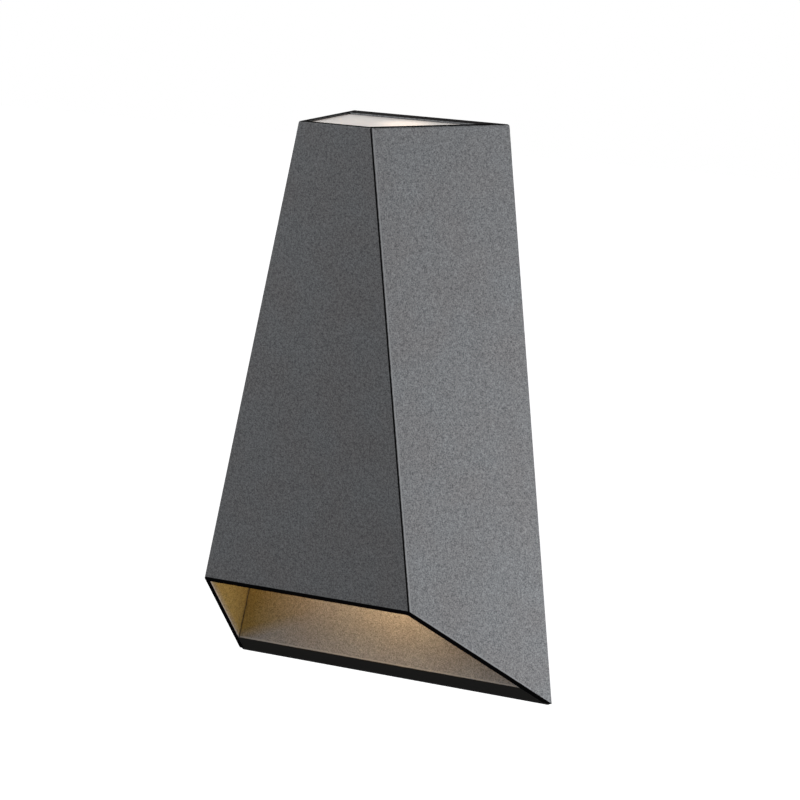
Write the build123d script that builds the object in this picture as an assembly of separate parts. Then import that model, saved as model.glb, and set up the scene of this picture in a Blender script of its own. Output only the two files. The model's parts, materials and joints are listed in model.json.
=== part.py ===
from build123d import *
import math
import os

# Wall pack light: a tapered up-and-down wall light, open at the bottom.
#
# Frame: +Z up, the wall is the plane Y = 0 and the light stands out of it towards -Y.
# The origin is the centre of the four wall-screw slots, on the wall.
# Every length is in millimetres.

# ---------------------------------------------------------------- outer form
HEIGHT = 420.0  # lowest back edge to top rim
DEPTH = 70.0  # wall to front face
TOP_Z = HEIGHT / 2
BOTTOM_Z = -HEIGHT / 2
LEFT_X = -160.0  # back left edge, at the bottom
RIGHT_X = 120.0  # back right edge, at the bottom
LEFT_LEAN = 106.0  # how far the left side leans in over the height
RIGHT_LEAN = 39.0  # how far the back right edge leans in over the height
CREASE_SETBACK = 72.0  # how far left of the back right edge the front crease is
CUT_RISE = 73.5  # how far the front's lower edge is above the back's
EDGE_RADIUS = 1.5  # rounding of the housing's outer edges

# ---------------------------------------------------------------- shell and tray
WALL = 3.5  # housing wall
RIGHT_EXTRA = 2.0  # how much thicker the right wall is
GASKET = 1.0  # foam ring between the wall and the light
GASKET_OUTER = (0.5, 1.75, 1.0)  # the ring's edge, in from the outer form: left, right, top
GASKET_INNER = (9.0, 16.5, 5.0)
GASKET_CORNER = 3.0
TRAY_DEPTH = 10.5  # back plate, from the gasket to its front
TRAY_SKIN = 2.5
TRAY_RIM = 5.0
TRAY_EDGE = 0.8  # rounding of the back plate's front edges
SIDE_GAP = 0.5  # between the back plate's rim and the housing
TRAY_FRONT = -(GASKET + TRAY_DEPTH)  # Y of the back plate's front face
SKIN_BACK = TRAY_FRONT + TRAY_SKIN
RIB = 2.5
RIB_X = (-45.0, 45.0)  # the ribs run through the pads
RIB_Z = (-105.0, 105.0)

# ---------------------------------------------------------------- wall fixing
PAD_W, PAD_H = 24.0, 16.0  # hard pads that reach the wall round each slot
SLOT_LENGTH, SLOT_WIDTH = 12.0, 5.5
WALL_SLOTS = [(x, z) for x in (-45.0, 45.0) for z in (-105.0, 105.0)]
BOX_SLOTS = [(-44.5, 0.0), (44.5, 0.0)]
CABLE_Z = 22.0  # height of the cable entry
GROMMET_SEAT_R = 9.0
GROMMET_FLANGE_R = 11.0
GROMMET_BORE_R = 4.0
GROMMET_LIP = 1.5

# ---------------------------------------------------------------- top frame and glass
GLASS_RECESS = 1.3
GLASS = 4.0
SEAL = 1.5
SEAL_EDGE = 1.0  # seal between the glass edge and the walls
LEDGE = 3.0
LEDGE_WIDTH = 7.0
GLASS_BACK = 13.0  # glass edge to wall plane
SEAL_BACK = 12.0
LEDGE_BACK = 13.5
LEDGE_OPENING_BACK = 21.0
GLASS_TOP = TOP_Z - GLASS_RECESS
GLASS_BOTTOM = GLASS_TOP - GLASS
LEDGE_TOP = GLASS_BOTTOM - SEAL
LEDGE_BOTTOM = LEDGE_TOP - LEDGE
SEAL_DROP = 0.4  # top of the seal below the glass

# ---------------------------------------------------------------- housing fixing
FIT = 0.05  # radial clearance of screws in their holes
M3, M4 = 1.5, 2.0  # screw radii
PIN_R = 2.5  # locating pins
PIN_CLEAR = 0.08
PIN_LENGTH = 7.5  # how far a pin stands out of the back plate
PINS = [(-56.0, 150.0), (57.0, 150.0)]
PIN_LUGS = [(-80.0, -50.0), (50.0, 80.0)]  # X range of each lug, trimmed by the wall
LUG_T = 3.0
LUG_GAP = 1.0  # between the back plate's front and a lug
LUG_HALF = 7.0
TAB_T = 4.0
TAB_TOP = -92.0
TAB_BOTTOM = TAB_TOP - TAB_T
TAB_REACH = 28.0  # Y reach of the tabs from the wall
TABS = [(-125.0, -110.0), (60.0, 71.0)]
RETAINERS = [-118.0, 67.0]  # X of the two retaining screws
RETAINER_Y = -19.0
SLIDE_GAP = 0.3  # between a lug and what it slides past
SLOT_LUGS = [(-145.0, -111.0), (60.0, 100.0)]
SLOT_LUG_FRONT = -27.0
SLOT_LUG_R = 2.35
WASHER = 0.8

# ---------------------------------------------------------------- lamps
LAMP_Y = -39.0
SHEET = 1.5  # bracket and baffle sheet
BEND_R = 2.0
SHELF_Z = 53.0  # outer face of each bracket shelf
SHELF_Y = -57.0
LIP = 7.0
BRACKET_W = 44.0
HOLDER_R = 16.5
HOLDER_H = 18.0
HOLDER_SCREW = 12.2
CHAMBER_R = 8.0
CHAMBER_FLOOR = SHELF_Z + 9.5
FACE_T = 2.6
HOLDER_TOP = SHELF_Z + HOLDER_H
HOLDER_SPLIT = HOLDER_TOP - 5.0  # where the cap meets the body
LAMP_PIN_X = 5.0
LAMP_PIN_R = 1.6
LAMP_PIN_HEAD = 2.5
TWIST = 22.5  # degrees from locked to free
LAMP_GAP = 0.3
LAMP_BASE_Z = HOLDER_TOP + LAMP_GAP
LAMP_BASE_R = 12.0
LAMP_NECK_Z = 82.0
LAMP_RIM_Z = 108.0
LAMP_FACE_Z = 118.0
LAMP_R = 25.0
FINS = 20

# ---------------------------------------------------------------- wiring
BLOCK_Z = -14.0
BLOCK_HALF_H = 9.0
BLOCK_HALF_W = 16.5
BLOCK_FRONT = -30.0
POLES = (-10.0, 0.0, 10.0)
POLE_Y = -21.5
SLEEVE_R = 2.8
SLEEVE_BORE = 1.5
CLAMP_Z = (BLOCK_Z - 3.5, BLOCK_Z + 3.5)
LEAD_R = 1.1
SLEEVING_R = 1.5
LEAD_DROP = 16.0  # from a shelf to a lead's first bend
LEAD_END = 4.0  # how far a lead goes into the terminal block
EARTH_X, EARTH_Z = -60.0, 20.0

# ---------------------------------------------------------------- baffle
BAFFLE_TOP = -87.0
BAFFLE_HOLE_R = 19.0
BAFFLE_GAP = 1.5
BAFFLE_TABS = [(-80.0, -64.0), (40.0, 56.0)]
BAFFLE_TAB_TOP = -72.0
BAFFLE_SCREW_Z = -79.0


# ================================================================ helpers
def left_edge(z):
    """X of the outer left side at height z."""
    return LEFT_X + LEFT_LEAN * (z - BOTTOM_Z) / HEIGHT


def right_edge(z):
    """X of the back right edge at height z."""
    return RIGHT_X - RIGHT_LEAN * (z - BOTTOM_Z) / HEIGHT


def outer_planes():
    """The left, right, front, back, top and cut faces, each with its normal outwards."""
    left = Vector(-HEIGHT, 0, LEFT_LEAN)
    up_right = Vector(-RIGHT_LEAN, 0, HEIGHT)
    forward = Vector(-CREASE_SETBACK, -DEPTH, 0)
    return {
        "left": Plane((LEFT_X, 0, BOTTOM_Z), z_dir=left),
        "right": Plane((RIGHT_X, 0, BOTTOM_Z), z_dir=up_right.cross(forward)),
        "front": Plane((0, -DEPTH, 0), z_dir=(0, -1, 0)),
        "back": Plane((0, 0, 0), z_dir=(0, 1, 0)),
        "top": Plane((0, 0, TOP_Z), z_dir=(0, 0, 1)),
        "cut": Plane((0, 0, BOTTOM_Z), z_dir=(0, -CUT_RISE, -DEPTH)),
    }


OUTER = outer_planes()


def wedge(sides=0.0, front=0.0, back=0.0, top=0.0, cut=0.0):
    """The outer form with each face drawn in by its own amount, or pushed out if negative.

    The right side is drawn in further than the left, because its wall is thicker.
    """
    right = sides + RIGHT_EXTRA if sides else 0.0
    insets = {"left": sides, "right": right, "front": front, "back": back, "top": top, "cut": cut}
    body = Box(2 * HEIGHT, 2 * HEIGHT, 2 * HEIGHT)
    for face, inset in insets.items():
        body = split(body, bisect_by=OUTER[face].offset(-inset), keep=Keep.BOTTOM)
    return body


def lies_on(edge, plane):
    """True for an edge whose ends are both on a plane."""
    return all(abs(plane.to_local_coords(v.center()).Z) < 0.01 for v in edge.vertices())


def block(x0, x1, y0, y1, z0, z1):
    """A box from its lowest to its highest corner."""
    return Pos((x0 + x1) / 2, (y0 + y1) / 2, (z0 + z1) / 2) * Box(x1 - x0, y1 - y0, z1 - z0)


def layer(z0, z1):
    """Everything between two heights."""
    return block(-HEIGHT, HEIGHT, -HEIGHT, HEIGHT, z0, z1)


def rod_y(x, z, y0, y1, radius):
    """A round rod along Y."""
    return Pos(x, (y0 + y1) / 2, z) * Rot(90, 0, 0) * Cylinder(radius, y1 - y0)


def rod_z(x, y, z0, z1, radius):
    """A round rod along Z."""
    return Pos(x, y, (z0 + z1) / 2) * Cylinder(radius, z1 - z0)


def slot_y(x, z, length, width, y0, y1):
    """A round-ended slot through Y, long along X."""
    reach = (length - width) / 2
    bar = block(x - reach, x + reach, y0, y1, z - width / 2, z + width / 2)
    ends = [rod_y(x + side * reach, z, y0, y1, width / 2) for side in (-1, 1)]
    return bar + ends[0] + ends[1]


def pan_screw(radius, length, head_r, head_h):
    """A cross-head screw: head up from Z = 0, shank down."""
    head = extrude(Circle(head_r), head_h)
    head = fillet(head.edges().sort_by(Axis.Z)[-1], 0.45 * head_h)
    shank = Pos(0, 0, -length / 2) * Cylinder(radius, length)
    shank = chamfer(shank.edges().sort_by(Axis.Z)[0], 0.3 * radius)
    screw = head + shank
    bar = Box(1.1 * head_r, 0.24 * head_r, head_h)
    cross = bar + Rot(0, 0, 90) * bar
    return screw - Pos(0, 0, head_h) * cross


def facing_front(shape):
    """Turn a shape whose top faces +Z so that it faces the front, -Y."""
    return Rot(90, 0, 0) * shape


def in_lamp(shape, upwards=True):
    """Place a shape built on the lamp axis, for the upper or the lower lamp."""
    turn = Rot(0, 0, 0) if upwards else Rot(180, 0, 0)
    return Pos(0, LAMP_Y, 0) * turn * shape


def bend_radii(points):
    """The largest sensible arc at each corner of a lead's route."""
    radii = []
    for before, corner, after in zip(points, points[1:], points[2:]):
        run_in = Vector(*corner) - Vector(*before)
        run_out = Vector(*after) - Vector(*corner)
        turn = math.radians(run_in.get_angle(run_out))
        radii.append(0.45 * min(run_in.length, run_out.length) / math.tan(turn / 2))
    return radii


def lead(name, points, radius=LEAD_R):
    """A round lead along straight runs joined by tangent arcs."""
    radii = bend_radii(points)
    path = FilletPolyline(*points, radius=radii)
    solid = sweep(Plane(path @ 0, z_dir=path % 0) * Circle(radius), path=path)
    expected = math.pi * radius**2 * path.length
    print(name, "length", round(path.length, 1), "radii", [round(r, 1) for r in radii])
    print(name, "volume over section x length", round(solid.volume / expected, 4))
    return solid


PARTS = {}


def group(name, solids):
    """Put one or more separate solids under one node name."""
    found = [s for shape in solids for s in shape.solids()]
    PARTS[name] = found[0] if len(found) == 1 else Compound(children=found)


# ================================================================ wall side
def gasket_outline(left, right, top, bottom):
    """The light's outline on the wall, drawn in by its own amount on each side."""
    low, high = BOTTOM_Z + bottom, TOP_Z - top
    corners = [
        (left_edge(low) + left, low),
        (right_edge(low) - right, low),
        (right_edge(high) - right, high),
        (left_edge(high) + left, high),
    ]
    outline = make_face(Polyline(*corners, close=True))
    return fillet(outline.vertices(), GASKET_CORNER)


def wall_gasket():
    """A foam ring behind the back plate's rim and the housing's edge."""
    rise = CUT_RISE / DEPTH
    low = GASKET * rise + TRAY_RIM * math.hypot(1, rise)
    ring = gasket_outline(*GASKET_OUTER, 0) - gasket_outline(*GASKET_INNER, low)
    return extrude(Plane.XZ * ring, GASKET)


def back_plate():
    """A cast tray, open towards the wall, with ribs, pads, bosses and two tabs."""
    side = WALL + SIDE_GAP
    tray = wedge(sides=side, front=DEPTH + TRAY_FRONT, back=GASKET)
    front = OUTER["front"].offset(-DEPTH - TRAY_FRONT)
    tray = fillet([e for e in tray.edges() if lies_on(e, front)], TRAY_EDGE)
    hollow = wedge(
        sides=side + TRAY_RIM,
        front=DEPTH + SKIN_BACK,
        back=-GASKET,
        top=TRAY_RIM,
        cut=TRAY_RIM,
    )
    ribs = [block(x - RIB / 2, x + RIB / 2, SKIN_BACK, -GASKET - 1, BOTTOM_Z, TOP_Z) for x in RIB_X]
    ribs += [block(-HEIGHT, HEIGHT, SKIN_BACK, -GASKET - 1, z - RIB / 2, z + RIB / 2) for z in RIB_Z]
    tray -= hollow
    for rib in ribs:
        tray += rib & hollow
    for x, z in WALL_SLOTS + BOX_SLOTS:
        tray += block(x - PAD_W / 2, x + PAD_W / 2, SKIN_BACK - 1, 0, z - PAD_H / 2, z + PAD_H / 2)
    for x, z in boss_places():
        tray += rod_y(x, z, SKIN_BACK - 1, -GASKET - 1, 5)
    for x0, x1 in TABS:
        tray += block(x0, x1, -TAB_REACH, SKIN_BACK, TAB_BOTTOM, TAB_TOP)
    for x, z in WALL_SLOTS + BOX_SLOTS:
        tray -= slot_y(x, z, SLOT_LENGTH, SLOT_WIDTH, -30, 10)
    for x, z in boss_places():
        tray -= rod_y(x, z, TRAY_FRONT - 1, -GASKET - 2, boss_hole(x, z))
    tray -= rod_y(0, CABLE_Z, -30, 10, GROMMET_SEAT_R + FIT)
    for x in RETAINERS:
        tray -= rod_z(x, RETAINER_Y, TAB_BOTTOM - 1, TAB_TOP + 1, M4 + FIT)
    return tray


BRACKET_SCREWS = [(x, z) for x in (-15.0, 15.0) for z in (-38.0, 38.0)]
BAFFLE_SCREWS = [((x0 + x1) / 2, BAFFLE_SCREW_Z) for x0, x1 in BAFFLE_TABS]


def boss_places():
    """Every place where a screw or a pin goes into the back plate."""
    return BRACKET_SCREWS + BAFFLE_SCREWS + PINS + [(EARTH_X, EARTH_Z)]


def boss_hole(x, z):
    """The radius of the hole in a boss: the screw's or the pin's, with its clearance."""
    if (x, z) in PINS:
        return PIN_R + 0.02
    if (x, z) in BAFFLE_SCREWS:
        return M3 + FIT
    return M4 + FIT


def cable_grommet():
    """A rubber bush that snaps into the back plate and seals round the supply cable."""
    body = rod_y(0, CABLE_Z, TRAY_FRONT, SKIN_BACK, GROMMET_SEAT_R)
    front = rod_y(0, CABLE_Z, TRAY_FRONT - GROMMET_LIP, TRAY_FRONT, GROMMET_FLANGE_R)
    back = rod_y(0, CABLE_Z, SKIN_BACK, SKIN_BACK + GROMMET_LIP, GROMMET_FLANGE_R)
    nose = Pos(0, SKIN_BACK + GROMMET_LIP + 2, CABLE_Z) * Rot(-90, 0, 0) * Cone(8, 6, 4)
    bush = body + front + back + nose
    return bush - rod_y(0, CABLE_Z, -30, 10, GROMMET_BORE_R)


def locating_pins():
    """Two pins that carry the top of the housing."""
    pins = []
    for x, z in PINS:
        pin = rod_y(x, z, TRAY_FRONT - PIN_LENGTH, -GASKET - 2.5, PIN_R)
        tip = pin.edges().sort_by(Axis.Y)[0]
        pins.append(chamfer(tip, 0.8))
    return pins


# ================================================================ lamp bracket
def lamp_bracket():
    """A folded steel strip: a web on the back plate and two shelves for the lampholders."""
    half = SHEET / 2
    web_y = TRAY_FRONT - half
    top = SHELF_Z - half
    front = SHELF_Y + half
    lip = SHELF_Z - LIP
    route = [(front, lip), (front, top), (web_y, top), (web_y, -top), (front, -top), (front, -lip)]
    line = FilletPolyline(*route, radius=BEND_R)
    strip = extrude(Plane.YZ * trace(line, SHEET), BRACKET_W / 2, both=True)
    for x, z in BRACKET_SCREWS:
        strip -= rod_y(x, z, -20, 0, M4 + 0.2)
    strip -= rod_y(0, CABLE_Z, -20, 0, GROMMET_FLANGE_R + 3)
    for x in block_screw_places():
        strip -= rod_y(x, BLOCK_Z, -20, 0, M3 + FIT)
    for side in (-1, 1):
        strip -= block(-8, 8, LAMP_Y - 5, LAMP_Y + 5, side * SHELF_Z - 4, side * SHELF_Z + 4)
        for y in (LAMP_Y - HOLDER_SCREW, LAMP_Y + HOLDER_SCREW):
            strip -= rod_z(0, y, side * SHELF_Z - 4, side * SHELF_Z + 4, M3 + FIT)
    return strip


def bracket_screws():
    screw = facing_front(pan_screw(M4, 8, 3.8, 2.6))
    return [Pos(x, TRAY_FRONT - SHEET, z) * screw for x, z in BRACKET_SCREWS]


# ================================================================ lampholders
def holder_half(low, high, screw_r):
    """A disc of the lampholder with its two screw holes."""
    half = rod_z(0, 0, low, high, HOLDER_R)
    for side in (-1, 1):
        half -= rod_z(0, side * HOLDER_SCREW, low - 1, high + 1, screw_r)
    return half


def lampholder():
    """The ceramic body of a twist-lock holder: an open contact chamber and two lead holes."""
    body = holder_half(SHELF_Z, HOLDER_SPLIT, M3 + FIT)
    body -= rod_z(0, 0, CHAMBER_FLOOR, HOLDER_SPLIT + 1, CHAMBER_R)
    for side in (-1, 1):
        body -= rod_z(side * LAMP_PIN_X, 0, SHELF_Z - 1, CHAMBER_FLOOR + 1, SLEEVING_R + 0.1)
    return body


def holder_cap():
    """The ceramic cap over the chamber, with two curved slots that lock the lamp's pins."""
    cap = holder_half(HOLDER_SPLIT, HOLDER_TOP, M3 + FIT)
    cap = chamfer(cap.edges().group_by(Axis.Z)[-1].sort_by(SortBy.LENGTH)[-1], 1.0)
    cap -= rod_z(0, 0, HOLDER_SPLIT - 1, HOLDER_TOP - FACE_T, CHAMBER_R)
    for side in (-1, 1):
        cap -= rod_z(0, side * HOLDER_SCREW, HOLDER_TOP - FACE_T, HOLDER_TOP + 1, 3.2)
    for start in (0, 180):
        arc = CenterArc((0, 0), LAMP_PIN_X, start, TWIST)
        slot = extrude(SlotArc(arc, 2 * (LAMP_PIN_R + 0.3)), FACE_T + 2)
        entry = Rot(0, 0, start + TWIST) * Pos(LAMP_PIN_X, 0, 0) * Cylinder(2.9, 8)
        cap -= Pos(0, 0, HOLDER_TOP - FACE_T - 1) * slot
        cap -= Pos(0, 0, HOLDER_TOP) * entry
    return cap


def holder_contacts():
    """Two brass plates on the chamber floor, one under each lamp pin."""
    plates = []
    for start in (0, 180):
        arc = CenterArc((0, 0), LAMP_PIN_X, start - 8, TWIST + 12)
        plate = extrude(SlotArc(arc, 4.4), 0.8)
        plates.append(Pos(0, 0, CHAMBER_FLOOR) * plate)
    return plates


def lampholder_screws():
    seat = HOLDER_TOP - FACE_T
    screw = pan_screw(M3, seat - SHELF_Z + SHEET, 2.7, 2.0)
    places = [Pos(0, side * HOLDER_SCREW, seat) * screw for side in (-1, 1)]
    return [in_lamp(s, up) for up in (True, False) for s in places]


# ================================================================ lamps
def lamp_base():
    """The moulded base that carries the lamp's two pins."""
    outline = [
        (0, LAMP_BASE_Z),
        (LAMP_BASE_R - 1, LAMP_BASE_Z),
        (LAMP_BASE_R, LAMP_BASE_Z + 1),
        (LAMP_BASE_R, LAMP_BASE_Z + 5),
        (LAMP_BASE_R - 1, LAMP_BASE_Z + 6),
        (LAMP_BASE_R + 1, LAMP_NECK_Z),
        (0, LAMP_NECK_Z),
    ]
    base = revolve(Plane.XZ * make_face(Polyline(*outline, close=True)), Axis.Z)
    for side in (-1, 1):
        base -= rod_z(side * LAMP_PIN_X, 0, LAMP_BASE_Z - 1, LAMP_BASE_Z + 4, LAMP_PIN_R + 0.02)
    return base


def lamp_pins():
    """Two headed pins that lock in the holder."""
    pins = []
    tip = CHAMBER_FLOOR + 1.0
    for side in (-1, 1):
        neck = rod_z(side * LAMP_PIN_X, 0, tip + 2, LAMP_BASE_Z + 4, LAMP_PIN_R)
        head = rod_z(side * LAMP_PIN_X, 0, tip, tip + 4.2, LAMP_PIN_HEAD)
        head = chamfer(head.edges().sort_by(Axis.Z)[0], 0.6)
        pins.append(neck + head)
    return pins


def lamp_body():
    """The finned reflector body, hollow at the face."""
    outline = [
        (0, LAMP_NECK_Z),
        (13, LAMP_NECK_Z),
        (LAMP_R - 1, LAMP_RIM_Z - 2),
        (LAMP_R, LAMP_RIM_Z),
        (LAMP_R, LAMP_FACE_Z - 0.8),
        (LAMP_R - 0.8, LAMP_FACE_Z),
        (LAMP_R - 2, LAMP_FACE_Z),
        (LAMP_R - 2, LAMP_FACE_Z - 2.5),
        (LAMP_R - 3.5, LAMP_FACE_Z - 2.5),
        (LAMP_R - 3.5, LAMP_RIM_Z + 2),
        (0, LAMP_RIM_Z + 2),
    ]
    body = revolve(Plane.XZ * make_face(Polyline(*outline, close=True)), Axis.Z)
    gap = block(15, 30, -1.2, 1.2, LAMP_NECK_Z + 2, LAMP_RIM_Z - 3)
    for number in range(FINS):
        body -= Rot(0, 0, 360 * (number + 0.5) / FINS) * gap
    return body


def lamp_board():
    """A round board with seven light sources on it."""
    floor = LAMP_RIM_Z + 2
    board = rod_z(0, 0, floor, floor + 1.2, LAMP_R - 3.7)
    chip = block(-1.8, 1.8, -1.8, 1.8, floor + 1, floor + 2.0)
    board += chip
    for number in range(6):
        board += Rot(0, 0, 60 * number) * Pos(11, 0, 0) * chip
    return board


def lamp_lens():
    disc = rod_z(0, 0, LAMP_FACE_Z - 2.5, LAMP_FACE_Z - 0.5, LAMP_R - 2.1)
    return chamfer(disc.edges().sort_by(Axis.Z)[-1], 0.4)


# ================================================================ wiring
def block_screw_places():
    return (-5.0, 5.0)


def terminal_block():
    """A three-way moulded block; the brass clamps sit in it."""
    low, high = BLOCK_Z - BLOCK_HALF_H, BLOCK_Z + BLOCK_HALF_H
    body = block(-BLOCK_HALF_W, BLOCK_HALF_W, BLOCK_FRONT, TRAY_FRONT - SHEET, low, high)
    body = fillet(body.edges().filter_by(Axis.Z).group_by(Axis.Y)[0], 1.5)
    for x in (-5.0, 5.0):
        body -= block(x - 0.8, x + 0.8, BLOCK_FRONT - 1, BLOCK_FRONT + 1.2, low - 1, high + 1)
    for x in POLES:
        body -= rod_z(x, POLE_Y, low + 2, high - 2, SLEEVE_R + FIT)
        body -= rod_z(x, POLE_Y, low - 1, high + 1, 2.0)
        for z in CLAMP_Z:
            body -= rod_y(x, z, BLOCK_FRONT - 1, POLE_Y, 2.2)
    for x in block_screw_places():
        body -= rod_y(x, BLOCK_Z, BLOCK_FRONT - 1, 0, M3 + FIT)
        body -= rod_y(x, BLOCK_Z, BLOCK_FRONT - 1, -25, 2.8)
    return body


def terminal_clamps():
    """Brass sleeves that grip the leads."""
    low, high = BLOCK_Z - BLOCK_HALF_H + 2, BLOCK_Z + BLOCK_HALF_H - 2
    clamps = []
    for x in POLES:
        sleeve = rod_z(x, POLE_Y, low, high, SLEEVE_R) - rod_z(x, POLE_Y, low - 1, high + 1, SLEEVE_BORE)
        for z in CLAMP_Z:
            sleeve -= rod_y(x, z, BLOCK_FRONT, POLE_Y, 1.25)
        clamps.append(sleeve)
    return clamps


def terminal_screws():
    """Six slotted clamp screws in the block's front."""
    screws = []
    for x in POLES:
        for z in CLAMP_Z:
            head = rod_y(x, z, -28.5, -25.0, 2.0)
            shank = rod_y(x, z, -25.0, -23.2, 1.2)
            driver = block(x - 3, x + 3, -29, -27.6, z - 0.3, z + 0.3)
            screws.append(head + shank - driver)
    return screws


def terminal_block_screws():
    screw = facing_front(pan_screw(M3, 13.3, 2.6, 1.8))
    return [Pos(x, -25, BLOCK_Z) * screw for x in block_screw_places()]


def holder_lead(name, pin_x, pole_x, upwards):
    """A lead from one lampholder pin to its pole in the terminal block."""
    side = 1 if upwards else -1
    entry = BLOCK_Z + side * BLOCK_HALF_H
    points = [
        (pin_x, LAMP_Y, side * (CHAMBER_FLOOR - 0.5)),
        (pin_x, LAMP_Y, side * (SHELF_Z - LEAD_DROP)),
        (pole_x, POLE_Y, entry + (12 if upwards else -9)),
        (pole_x, POLE_Y, entry - side * LEAD_END),
    ]
    return lead(name, points)


def lead_sleeves():
    """Heat-proof sleeves on the leads where they enter the lampholders."""
    sleeves = []
    for upwards in (True, False):
        for x in (-LAMP_PIN_X, LAMP_PIN_X):
            tube = rod_z(x, 0, SHELF_Z - 3, CHAMBER_FLOOR - 0.5, SLEEVING_R)
            tube -= rod_z(x, 0, SHELF_Z - 4, CHAMBER_FLOOR, LEAD_R + FIT)
            sleeves.append(in_lamp(tube, upwards))
    return sleeves


def earth_lead():
    """From the left pole, over the bracket's edge, to the earth tag on the back plate."""
    entry = BLOCK_Z + BLOCK_HALF_H
    tag_y = TRAY_FRONT - 2.0
    points = [
        (POLES[0], POLE_Y, entry - LEAD_END),
        (POLES[0], POLE_Y, entry + 5),
        (POLES[0] - 9, POLE_Y - 3, entry + 14),
        (POLES[0] - 22, POLE_Y + 1, EARTH_Z - 3),
        (EARTH_X + 18, tag_y, EARTH_Z),
        (EARTH_X + 9, tag_y, EARTH_Z),
    ]
    return lead("earth_lead", points)


def earth_tag():
    """A ring tag with a crimped barrel, under the earth screw."""
    back = TRAY_FRONT
    ring = rod_y(EARTH_X, EARTH_Z, back - 0.8, back, 4.5)
    tongue = block(EARTH_X, EARTH_X + 9, back - 0.8, back, EARTH_Z - 1.6, EARTH_Z + 1.6)
    barrel = Pos(EARTH_X + 11, back - 2.0, EARTH_Z) * Rot(0, 90, 0) * Cylinder(1.9, 7)
    bore = Pos(EARTH_X + 11, back - 2.0, EARTH_Z) * Rot(0, 90, 0) * Cylinder(LEAD_R + FIT, 9)
    return (ring + tongue + barrel) - bore - rod_y(EARTH_X, EARTH_Z, -20, 0, M4 + 0.15)


def earth_washer():
    front = TRAY_FRONT - 0.8
    ring = rod_y(EARTH_X, EARTH_Z, front - WASHER, front, 4.3)
    ring -= rod_y(EARTH_X, EARTH_Z, -20, 0, M4 + 0.15)
    for number in range(8):
        turn = Pos(EARTH_X, 0, EARTH_Z) * Rot(0, 45 * number, 0)
        ring -= turn * block(3.4, 6, -20, 0, -0.5, 0.5)
    return ring


def earth_screw():
    screw = facing_front(pan_screw(M4, 8, 3.8, 2.6))
    return Pos(EARTH_X, TRAY_FRONT - 0.8 - WASHER, EARTH_Z) * screw


# ================================================================ baffle
def lower_baffle():
    """A painted sheet that hides the wiring from below, with a hole round the lamp."""
    inset = WALL + BAFFLE_GAP
    sheet = wedge(sides=inset, front=inset, back=-TRAY_FRONT, cut=-10) & layer(BAFFLE_TOP - SHEET, BAFFLE_TOP)
    for x0, x1 in BAFFLE_TABS:
        sheet += block(x0, x1, TRAY_FRONT - SHEET, TRAY_FRONT, BAFFLE_TOP - SHEET, BAFFLE_TAB_TOP)
    for x, z in BAFFLE_SCREWS:
        sheet -= rod_y(x, z, -20, 0, M3 + 0.2)
    return sheet - rod_z(0, LAMP_Y, -HEIGHT, 0, BAFFLE_HOLE_R)


def baffle_screws():
    screw = facing_front(pan_screw(M3, 7, 2.9, 2.0))
    return [Pos(x, TRAY_FRONT - SHEET, z) * screw for x, z in BAFFLE_SCREWS]


# ================================================================ housing
def outer_shell():
    """The outer form with its long edges and top edges rounded."""
    form = wedge(back=GASKET)
    flat = [OUTER["cut"], OUTER["back"].offset(-GASKET)]
    rounded = [e for e in form.edges() if not any(lies_on(e, plane) for plane in flat)]
    return fillet(rounded, EDGE_RADIUS)


def pin_lugs():
    """Two lugs with holes that drop over the locating pins' line."""
    back = TRAY_FRONT - LUG_GAP
    lugs = []
    for (x0, x1), (x, z) in zip(PIN_LUGS, PINS):
        lug = block(x0, x1, back - LUG_T, back, z - LUG_HALF, z + LUG_HALF) & wedge(sides=1)
        lugs.append(lug - rod_y(x, z, -30, 0, PIN_R + PIN_CLEAR))
    return lugs


def slot_lugs():
    """Two lugs with slots, open to the back, that pass over the retaining screws."""
    top = TAB_BOTTOM - SLIDE_GAP
    back = TRAY_FRONT - LUG_GAP
    lugs = []
    for (x0, x1), x in zip(SLOT_LUGS, RETAINERS):
        lug = block(x0, x1, SLOT_LUG_FRONT, back, top - LUG_T, top) & wedge(sides=1)
        lug -= rod_z(x, RETAINER_Y, top - 10, top + 10, SLOT_LUG_R)
        lug -= block(x - SLOT_LUG_R, x + SLOT_LUG_R, RETAINER_Y, 0, top - 10, top + 10)
        lugs.append(lug)
    return lugs


def housing():
    """The tapered shell: front, left and right walls, the top frame and four lugs."""
    shell = outer_shell() - wedge(sides=WALL, front=WALL, back=-5, top=-5, cut=-20)
    ledge = wedge(sides=1, front=1, back=LEDGE_BACK) & layer(LEDGE_BOTTOM, LEDGE_TOP)
    edge = WALL + LEDGE_WIDTH
    ledge -= wedge(sides=edge, front=edge, back=LEDGE_OPENING_BACK, top=-5)
    shell += ledge
    for lug in pin_lugs() + slot_lugs():
        shell += lug
    return shell


def top_glass():
    edge = WALL + SEAL_EDGE
    return wedge(sides=edge, front=edge, back=GLASS_BACK) & layer(GLASS_BOTTOM, GLASS_TOP)


def top_glass_seal():
    """A silicone seal under the glass and round its edge."""
    inset = WALL + 0.02
    body = wedge(sides=inset, front=inset, back=SEAL_BACK) & layer(LEDGE_TOP, GLASS_TOP - SEAL_DROP)
    edge = WALL + SEAL_EDGE
    body -= wedge(sides=edge, front=edge, back=GLASS_BACK, top=-5) & layer(GLASS_BOTTOM, TOP_Z)
    lip = WALL + LEDGE_WIDTH - 1
    return body - wedge(sides=lip, front=lip, back=LEDGE_OPENING_BACK - 1, top=-5)


def rear_seal():
    """A foam strip behind the top frame that closes the gap to the back plate."""
    back = -TRAY_FRONT + 0.1
    strip = wedge(sides=WALL + 0.5, back=back, front=DEPTH - LEDGE_BACK)
    return strip & layer(LEDGE_BOTTOM - 4, LEDGE_TOP)


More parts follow.
